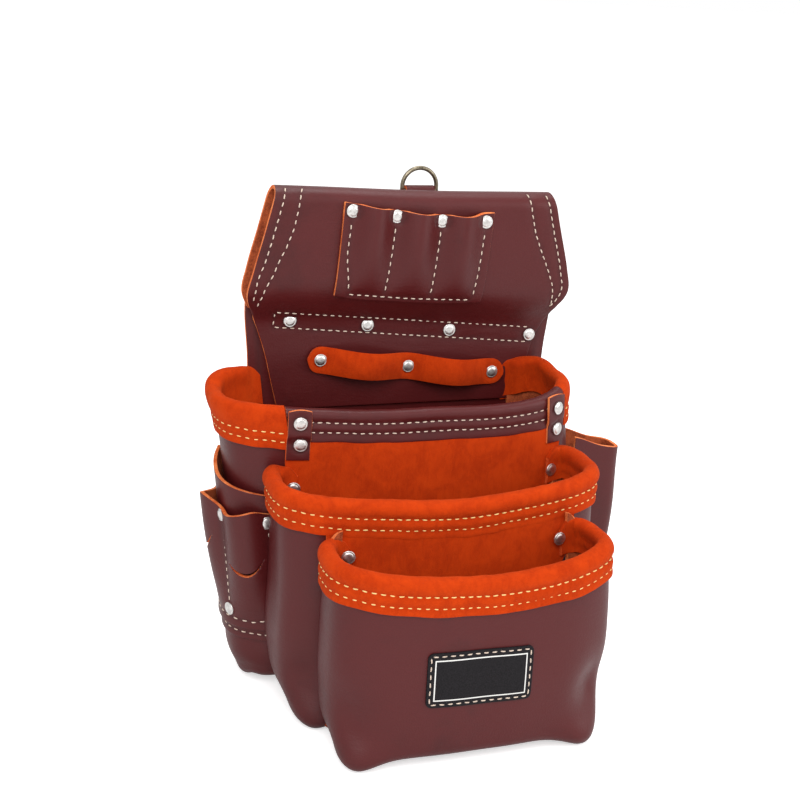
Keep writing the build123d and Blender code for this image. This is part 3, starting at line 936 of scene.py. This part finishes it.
bindingSections = {
    # off the wall and down from the lip, from the lower edge outside, over the roll and down inside
    "suede": [(2.2, -20.6), (2.5, -18.5), (2.2, -16), (3.2, -12.8), (2.4, -9.5), (3.9, -5.6), (3.5, -2.2),
              (1.4, 0.4), (-1.2, 1.0), (-3.8, 0.4), (-5.9, -2.2), (-6.0, -5.6), (-5.0, -9.5), (-5.4, -13),
              (-4.6, -16), (-4.8, -19.5)],
    "side": [(2.2, -24.6), (2.5, -22.5), (2.2, -20), (3.0, -17.4), (2.4, -14.8), (3.4, -10), (3.9, -5.6),
             (3.4, -2.0), (1.4, 0.5), (-1.2, 1.0), (-3.8, 0.4), (-5.8, -2.2), (-5.6, -6), (-4.8, -11),
             (-4.6, -17), (-4.6, -22)],
    "leather": [(2.3, -18.8), (2.4, -16.6), (2.1, -13.4), (2.7, -10), (2.1, -7), (2.9, -3.6), (2.5, -1.0),
                (0.9, 0.4), (-1.2, 0.8), (-3.3, 0.4), (-4.9, -1.2), (-4.7, -4.5), (-4.4, -8), (-4.4, -12),
                (-4.4, -16)],
}
bindingRows = {"suede": (-9.5, -16.0), "side": (-14.8, -20.0), "leather": (-7.0, -13.0)}


def bindingPath(kind):
    points = np.array(bindingSections[kind], float)
    t = np.linspace(0, len(points) - 1, 160)
    points = np.column_stack([curve(np.arange(len(points)), points[:, k], t) for k in (0, 1)])
    walk = walkAlong(points)
    return points, walk


def makeBinding(name, wall, kind, start, last, seed):
    points, walk = bindingPath(kind)
    outside = walk <= walk[np.argmax(points[:, 1])]
    flats = [0 if start < 5 else 99, 0 if last > wall["length"] - 5 else 99]
    leather = kind == "leather"

    def place(u, v):
        off, drop = np.interp(v, walk, points[:, 0]), np.interp(v, walk, points[:, 1])
        # pressed flat at an end that lies on the leather behind, with its upper corner rounded
        end = np.minimum(u + flats[0], wall["length"] - u + flats[1])
        flat = np.clip((11 - end) / 6, 0, 1)
        off = off + flat * (np.where(off > -1.2, 0.2, -2.3) - off)
        fat = 1 + 0.10 * ripple(u, 0 * u, 46, seed)
        off = -1.2 + (off + 1.2) * np.where(np.abs(off + 1.2) > 3.4, fat, 1)
        lip = lipAt(wall, u) + 0.5 * ripple(u, 0 * u, 70, seed + 2)
        lip = lip - 6 * np.clip(1 - end / 7, 0, 1) ** 2 * np.clip((drop + 14) / 14, 0, 1)
        low = np.clip((-drop - 10) / 10, 0, 1)
        z = lip + drop + low * 0.7 * ripple(u, 0 * u, 23, seed + 1)
        spot = onWall(wall, u, np.clip(z, 0, wall["top"]), off)
        spot[:, 2] = z
        return spot

    def relief(u, v):
        turn = np.interp(v, walk, points[:, 1])
        roll = bell(turn + 2, 7)
        return (0.28 * ripple(u * 1.0, v * 0.4, 11, seed + 3) * roll + 0.16 * ripple(u, v, 8, seed + 4)) \
            * (0.5 if leather else 1.0)

    seams = []
    for drop in bindingRows[kind]:
        v = float(np.interp(drop, points[outside, 1], walk[outside]))
        u = np.linspace(start + 1.5, last - 1.5, 60)
        row = np.column_stack([u, v + 0.35 * ripple(u, 0 * u, 80, seed + 5)])
        seams.append(seamLine(row, whiteThread if leather else creamThread))

    def shape(p, q):
        return start + (last - start) * p, walk[-1] * q

    slot, faces = ("burgundy_leather", smoothFaces) if leather else ("orange_suede", suedeFaces)
    sheet(name, (last - start, walk[-1]), shape, place, seams, split, faces, relief, 1.9, 0.3)


jointLeft = walkWhere(rearWall, lambda x, y: (x > -88) & (y < -40), 170)
jointRight = walkWhere(rearWall, lambda x, y: (x > 87.5) & (y < -20), 170)
endGap = 0.6
makeBinding("rearBindingLeft", rearWall, "side", endGap, jointLeft, 1)
makeBinding("rearBindingRight", rearWall, "side", jointRight, rearWall["length"] - endGap, 4)
makeBinding("rearBindingFront", rearWall, "leather", jointLeft + 0.4, jointRight - 0.4, 7)
makeBinding("midBagBinding", midWall, "suede", endGap, midWall["length"] - endGap, 10)
makeBinding("frontBagBinding", frontWall, "suede", endGap, frontWall["length"] - endGap, 13)
print("bindings made")

# ---- end tabs over the ends of the front binding

endTab = {"in": 74.5, "out": 88.0, "low": 150.5, "top": 180.5, "lean": (0.0, 2.4),
          "rivets": [[(-81, 173.5), (-80, 160)], [(81.8, 173), (82.2, 159)]]}


def makeEndTab(name, side):
    inner, outer = sorted((side * endTab["in"], side * endTab["out"]))

    def shape(p, q):
        u = inner + (outer - inner) * p
        top = endTab["top"] + 1.2 * np.sin(p * math.pi)
        return u, endTab["low"] + (top - endTab["low"]) * q

    def place(u, v):
        x = u + endTab["lean"][side > 0] * (endTab["top"] - v) / 30
        y = frontOf(rearWall, x, v)
        over = np.clip((v - (lipOf(rearBag, x) - 19)) / 3, 0, 1)
        return np.column_stack([x, y - 2.4 - 0.4 - 2.0 * over - 0.4, v])

    sheet(name, (outer - inner, 31), shape, place, cell=1.6, thick=1.9, dents=endTab["rivets"][side > 0])
    return place


leftTab = makeEndTab("endTabLeft", -1)
rightTab = makeEndTab("endTabRight", 1)

# ---- label patch

labelPlate = {"x": -1.0, "z": 55.5, "tilt": 1.0, "thick": 1.3}


def labelPlace(u, v):
    lean = math.radians(-labelPlate["tilt"])
    x = labelPlate["x"] + u * math.cos(lean) - v * math.sin(lean)
    z = labelPlate["z"] + u * math.sin(lean) + v * math.cos(lean)
    return np.column_stack([x, frontOf(frontWall, x, z) - labelPlate["thick"] - 0.15, z])


labelHalf = (labelLook["width"] / 2, labelLook["height"] / 2)
signs = ((-1, -1), (1, -1), (1, 1), (-1, 1), (-1, -1))
frameLine = [(x * (labelHalf[0] - 1.7), y * (labelHalf[1] - 1.7)) for x, y in signs]
sheet("labelPatch", (62, 31.5), roundedEnds(62, -labelHalf[1], labelHalf[1], 2.0), labelPlace,
      [seamLine(frameLine[i:i + 2]) for i in range(4)], labelPlate["thick"], (blackPatch,) * 3,
      cell=1.6, bevel=0.25)

# ---- pockets on the left side

sidePocket = {"low": 34.0, "bulge": 4.6}
sleeveU = (walkWhere(rearWall, lambda x, y: y < -16),
           walkWhere(rearWall, lambda x, y: (y < -56) & (x < 0)) + 4)
holderU = [walkWhere(rearWall, lambda x, y, at=at: y < at) for at in (-19.5, -41.5, -56.0)]


def sleeveTop(u):
    t = (u - sleeveU[0]) / (sleeveU[1] - sleeveU[0])
    return 145 - 17.5 * t ** 0.8 - 1.2 * np.sin(t * math.pi)


def sleeveShape(p, q):
    u = sleeveU[0] + (sleeveU[1] - sleeveU[0]) * p
    return u, sidePocket["low"] + (sleeveTop(u) - sidePocket["low"]) * q


def sleeveStand(u, z):
    t = np.clip((u - sleeveU[0]) / (sleeveU[1] - sleeveU[0]), 0, 1)
    rise = np.clip((z - 60) / 80, 0, 1)
    return sidePocket["bulge"] * np.sin(t * math.pi) ** 1.2 * np.sin(rise * math.pi / 2)


def sleevePlace(u, v):
    return onWall(rearWall, u, v, hide + 0.3 + sleeveStand(u, v))


sleeveSeams = [seamLine([(sleeveU[0] + 3, 39), (sleeveU[1] - 2, 37.5)]),
               seamLine([(sleeveU[0] + 3, 39), (sleeveU[0] + 3, 84)])]
sheet("sideSleeve", (sleeveU[1] - sleeveU[0] + 4, 112), sleeveShape, sleevePlace, sleeveSeams,
      relief=lambda u, v: 0.2 * ripple(u, v, 24, 8), cell=2.2)

doubleHolder = {"low": 42.0, "bulge": 7.4, "margin": 4.0, "corner": 7.0}


def holderTop(u):
    a, b, c = holderU
    return curve([a - 4, a, a + 7, a + 14, b - 4, b + 2, b + 12, c - 5, c, c + 4],
                 [120.5, 119.5, 120.8, 123.0, 121.0, 116.0, 119.0, 120.4, 118.0, 117.5], u)


def holderShape(p, q):
    first, last = holderU[0] - doubleHolder["margin"], holderU[2] + doubleHolder["margin"]
    u = first + (last - first) * p
    low = doubleHolder["low"] + cornerInset(np.minimum(u - first, last - u), doubleHolder["corner"])
    return u, low + (holderTop(u) - low) * q


def holderPlace(u, v):
    rise = np.clip((v - 50) / 60, 0, 1)
    stand = loopWave(u, holderU, doubleHolder["bulge"], 1.3) * np.sin(rise * math.pi / 2) ** 0.9
    return onWall(rearWall, u, v, 2 * hide + 0.5 + sleeveStand(u, v) + stand)


first, middle, last = holderU
holderSeams = [seamLine([(middle, 108.5), (middle + 0.5, 80), (middle + 1, 57)]),
               seamLine([(last + 0.5, 107), (last + 0.8, 60), (last, 49), (last - 8, 47), (first + 8, 48),
                         (first, 52), (first - 0.6, 62), (first - 0.6, 86)])]
holder = sheet("doubleHolder", (last - first + 16, 80), holderShape, holderPlace, holderSeams, cell=1.9)


def cutSlit(piece, middleU, z, width, drop, open_):
    # a crescent cut through one loop of the holder
    def arc(sink, steps):
        # its right leg runs up further than its left
        return [(middleU + width / 2 * a, z - sink * (1 - a * a) + 5 * max(a, 0) ** 2) for a in steps]

    t = np.linspace(-1, 1, 13)
    ring = np.array(arc(drop, t) + arc(drop - open_, t[::-1])[1:-1])
    spot, out = surface(holderPlace, ring[:, 0], ring[:, 1])
    aim = out.mean(axis=0)
    aim /= np.linalg.norm(aim)
    near, far = toFrame(spot - aim * 4), toFrame(spot + aim * 3)
    count = len(ring)
    mesh = bpy.data.meshes.new("slitCutter")
    faces = [list(range(count))[::-1], list(range(count, 2 * count))]
    faces += [[i, (i + 1) % count, count + (i + 1) % count, count + i] for i in range(count)]
    mesh.from_pydata(np.concatenate([near, far]).tolist(), [], faces)
    mesh.materials.append(rawEdge)
    cutter = bpy.data.objects.new("slitCutter", mesh)
    bpy.context.collection.objects.link(cutter)
    onlyThis(cutter)
    bpy.ops.object.mode_set(mode="EDIT")
    bpy.ops.mesh.select_all(action="SELECT")
    bpy.ops.mesh.normals_make_consistent(inside=False)
    bpy.ops.object.mode_set(mode="OBJECT")
    cut = piece.modifiers.new("slit", "BOOLEAN")
    cut.operation, cut.object, cut.solver, cut.material_mode = "DIFFERENCE", cutter, "EXACT", "TRANSFER"
    applyAll(piece)
    bpy.data.objects.remove(cutter)


cutSlit(holder, (first + middle) / 2 - 1.0, 93, 14, 6.5, 2.6)
cutSlit(holder, (middle + last) / 2 + 1.0, 85, 15.5, 6.0, 2.4)
print("side pockets made")

# ---- wrench sheath

sheath = {"y": -36.0, "root": 104.0, "low": 14.0, "round": 88.0}


def sheathPath(z):
    # the plan of the sheath at one height: out along the front, round the fold and back
    reach = float(curve([14, 60, 150], [124, 136, 138.3], z))
    half = float(curve([14, 30, 60, 150], [3.4, 6.0, 8.6, 10.6], z))
    bend = min(half - 0.2, 7.5)
    turn = np.linspace(-math.pi / 2, 0, 9)
    root, middle = sheath["root"], sheath["y"]
    front = np.column_stack([reach - bend + bend * np.cos(turn), middle - half + bend + bend * np.sin(turn)])
    back = np.column_stack([front[:, 0], 2 * middle - front[:, 1]])[::-1]
    points = np.concatenate([[[root, middle - half]], front, back, [[root, middle + half]]])
    walk = walkAlong(points)
    fine = np.linspace(0, walk[-1], 81)
    return np.stack([np.interp(fine, walk, points[:, k]) for k in (0, 1)], 1)


sheathHeights = np.linspace(10, 152, 36)
sheathPlans = np.stack([sheathPath(z) for z in sheathHeights])
sheathWalk = np.linspace(0, sheath["round"], 81)


def sheathPlace(u, v):
    plan = lookUp(sheathPlans, sheathHeights, sheathWalk, v, u)
    return np.column_stack([plan, v])


def sheathShape(p, q):
    u = sheath["round"] * p
    x = np.interp(u, sheathWalk, sheathPlans[-3][:, 0])
    top = curve([100, 106, 122, 138.3], [148.5, 147.3, 141.5, 138.6], x)
    return u, sheath["low"] + (top - sheath["low"]) * q


sheet("wrenchSheath", (88, 134), sheathShape, sheathPlace, [seamLine([(4, 20), (37, 18)])],
      relief=lambda u, v: 0.35 * ripple(u, v, 48, 9), cell=2.4)

# ---- ring tab

ringTab = {"x": 7.5, "z": 294.0, "bar": 1.3, "room": 0.3, "strap": 2.0, "width": 18.2, "taper": 2.0,
           "drop": 32.0}


def tabPath():
    tab = ringTab
    bend = tab["bar"] + tab["room"] + tab["strap"]
    turn = np.linspace(math.pi, 0, 17)
    arc = np.column_stack([bend + bend * np.cos(turn), tab["z"] + bend * np.sin(turn)])
    low = tab["z"] - tab["drop"]
    points = np.concatenate([[[0, low]], arc, [[2 * bend, low]]])
    walk = walkAlong(points)
    return points, walk


tabPoints, tabWalk = tabPath()


def tabPlace(u, v):
    # seen from in front, up behind the ring and over
    return np.column_stack([ringTab["x"] + u, np.interp(v, tabWalk, tabPoints[:, 0]),
                            np.interp(v, tabWalk, tabPoints[:, 1])])


tabV = tabWalk[-1] - 14
tabCut = roundedEnds(ringTab["width"], 0, tabWalk[-1], 2.5)


def tabShape(p, q):
    # a little narrower behind, where the ring's bow swings down past it
    u, v = tabCut(p, q)
    behind = np.clip((v - tabWalk[-1] + ringTab["drop"] - 2) / 3, 0, 1)
    return u * (1 - ringTab["taper"] / ringTab["width"] * behind), v


tabRows = [seamLine([(side * 5.8, tabWalk[-1] - 4), (side * 5.8, tabV - 12)]) for side in (-1, 1)]
sheet("ringTab", (ringTab["width"], tabWalk[-1]), tabShape, tabPlace, tabRows, thick=1.85, cell=1.3,
      bevel=0.25)

# ---- rivets

rivetShape = {"sides": 28, "radius": 3.95, "deep": 1.0, "edge": 0.22,
              "steps": [(0.45, 0.12), (0.35, -0.14), (0.5, 0.40), (0.8, 0.16), (0.9, 0.05)]}
# the burr behind the leather, with the post's end peened over its middle
burrShape = {"sides": 24, "radius": 3.4, "deep": 1.0, "edge": 0.15,
             "steps": [(1.3, 0.1), (0.35, 0.45), (0.5, 0.15)]}


def makeRound(shape):
    # a disc whose top face is inset and raised, step by step
    bpy.ops.object.select_all(action="DESELECT")
    bpy.ops.mesh.primitive_cylinder_add(vertices=shape["sides"], radius=shape["radius"], depth=shape["deep"])
    piece = bpy.context.object
    bpy.ops.object.mode_set(mode="EDIT")
    bpy.ops.mesh.select_mode(type="FACE")
    bpy.ops.mesh.select_all(action="DESELECT")
    bpy.ops.object.mode_set(mode="OBJECT")
    max(piece.data.polygons, key=lambda f: f.center.z).select = True
    bpy.ops.object.mode_set(mode="EDIT")
    for step, lift in shape["steps"]:
        bpy.ops.mesh.inset(thickness=step, depth=0)
        bpy.ops.transform.translate(value=(0, 0, lift))
    bpy.ops.object.mode_set(mode="OBJECT")
    soft = piece.modifiers.new("edge", "BEVEL")
    soft.width, soft.segments, soft.angle_limit = shape["edge"], 2, math.radians(40)
    applyAll(piece)
    piece.data.shade_smooth()
    return piece


rivetHead, rivetBurr = makeRound(rivetShape), makeRound(burrShape)


def setCopies(name, master, spots):
    # one copy of the master at each spot, looking along its normal, joined as one piece
    copies = []
    for spot, out in spots:
        made = bpy.data.objects.new(name, master.data.copy())
        bpy.context.collection.objects.link(made)
        turn = Vector(out).to_track_quat("Z", "Y").to_matrix().to_4x4()
        spin = Matrix.Rotation(0.7 * len(copies), 4, "Z")
        made.data.transform(Matrix.Translation(Vector(toFrame(spot))) @ turn @ spin @ Matrix.Scale(0.001, 4))
        copies.append(made)
    bpy.ops.object.select_all(action="DESELECT")
    for made in copies:
        made.select_set(True)
    bpy.context.view_layer.objects.active = copies[0]
    if len(copies) > 1:
        bpy.ops.object.join()
    piece = bpy.context.view_layer.objects.active
    piece.name = piece.data.name = name
    piece.data.materials.clear()
    piece.data.materials.append(nickel)
    finishPiece(piece, [nodeName(name)])


def rivet(group, place, places, grip, straight=None):
    # caps on the face of a sheet and burrs behind it, through a grip of leather
    spot, out = surface(place, *np.array(places, float).T)
    if straight is not None:
        out = np.tile(np.array(straight, float), (len(places), 1))
    grip = np.broadcast_to(np.asarray(grip, float), (len(places),))
    heads = [(s + o * 0.05, o) for s, o in zip(spot, out)]
    tails = [(s - o * (g + 0.35), -o) for s, o, g in zip(spot, out, grip)]
    setCopies("rivets" + group, rivetHead, heads)
    setCopies("burrs" + group, rivetBurr, tails)


front = (0, -1, 0)
rivet("Strip", stripPlace, stripSpots, 2 * hide + 0.3, front)
seamGrips = [-flapPlace(np.array([x]), np.array([v]))[0, 1] for x, v in seamSpots]
rivet("BeltSeam", flapPlace, seamSpots, seamGrips, front)
rivet("PlierStrap", strapPlace, strapSpots, 2 * hide + split + 0.6, front)


def bothTabs(u, v):
    return np.where((u < 0)[:, None], leftTab(u, v), rightTab(u, v))


rivet("EndTab", bothTabs, endTab["rivets"][0] + endTab["rivets"][1], [9.4, 6.4, 9.4, 6.4])
rivet("Holder", holderPlace, [(middle, 113.0), (last, 112.5), (middle + 1, 52.5)], 3 * hide + 0.5)
rivet("MidBag", lambda u, v: np.column_stack([u, frontOf(rearWall, u, v) - split - 3.6, v]),
      [(-83.5, 134), (80.5, 134)], 2 * hide + split + 1.3)
rivet("FrontBag", lambda u, v: np.column_stack([u, frontOf(midWall, u, v) - split - 3.6, v]),
      [(-64.5, 111), (64.5, 111)], 2 * hide + split + 1.3)
rivet("RingTab", tabPlace, [(0, tabWalk[-1] - 10)], 7.2, (0, 1, 0))
for master in (rivetHead, rivetBurr):
    bpy.data.objects.remove(master)
print("rivets made")

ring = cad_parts["d_ring"]
ring.data.materials.clear()
ring.data.materials.append(darkNickel)

# ---- studio

studio = {"azimuth": -20.4, "elevation": 17.6, "roll": 3.6, "distance": 802.9, "lens": 63,
          "aim": (-23.6, -70, 186.2)}


def makeCamera():
    turn, rise, roll = [math.radians(studio[k]) for k in ("azimuth", "elevation", "roll")]
    back = Vector((math.sin(turn) * math.cos(rise), -math.cos(turn) * math.cos(rise), math.sin(rise)))
    right = Vector((math.cos(turn), math.sin(turn), 0))
    up = back.cross(right)
    right, up = math.cos(roll) * right + math.sin(roll) * up, math.cos(roll) * up - math.sin(roll) * right
    camera = bpy.data.objects.new("camera", bpy.data.cameras.new("camera"))
    bpy.context.collection.objects.link(camera)
    camera.data.lens, camera.data.sensor_width = studio["lens"], 36
    camera.data.clip_start, camera.data.clip_end = 0.01, 50
    spot = Vector(toFrame(studio["aim"])) + back * studio["distance"] / 1000
    camera.matrix_world = Matrix.Translation(spot) @ Matrix((right, up, back)).transposed().to_4x4()
    bpy.context.scene.camera = camera


def addLamp(name, place, aim, size, power):
    lamp = bpy.data.objects.new(name, bpy.data.lights.new(name, "AREA"))
    bpy.context.collection.objects.link(lamp)
    lamp.data.shape, lamp.data.size, lamp.data.energy = "DISK", size, power
    lamp.location = place
    lamp.rotation_euler = (Vector(aim) - Vector(place)).to_track_quat("-Z", "Y").to_euler()


def makeStudio():
    bpy.ops.mesh.primitive_plane_add(size=30, location=(0, 0, cadBox[0][2] - 0.0002))
    floor = bpy.context.object
    floor.name = "floor"
    made, wire, shader = newMaterial("paleFloor")
    shader.inputs["Base Color"].default_value = (0.9, 0.9, 0.9, 1)
    shader.inputs["Roughness"].default_value = 0.9
    seen = wire.node("ShaderNodeLightPath", {}, {}, 0)
    shader.inputs["Emission Color"].default_value = (1, 1, 1, 1)
    wire.tree.links.new((seen * 0.56).socket, shader.inputs["Emission Strength"])
    floor.data.materials.append(made)
    world = bpy.data.worlds.new("studio")
    bpy.context.scene.world = world
    world.use_nodes = True
    tree = Wire(world.node_tree)
    sky = world.node_tree.nodes["Background"]
    sky.inputs["Color"].default_value = (1, 1, 1, 1)
    path = world.node_tree.nodes.new("ShaderNodeLightPath")
    seen = Wire(tree.tree, path.outputs["Is Camera Ray"])
    shiny = Wire(tree.tree, path.outputs["Is Glossy Ray"])
    strength = 0.62 + (seen + shiny) * 0.38
    tree.tree.links.new(strength.socket, sky.inputs["Strength"])
    addLamp("key", (-0.55, -1.1, 1.15), (0, 0, 0.15), 0.9, 15)
    addLamp("fill", (1.1, -0.8, 0.7), (0, 0, 0.12), 1.0, 7)
    addLamp("top", (0.1, 0.2, 1.4), (0, 0, 0.15), 0.8, 7)


makeCamera()
makeStudio()
bpy.context.scene.view_settings.view_transform = "Standard"
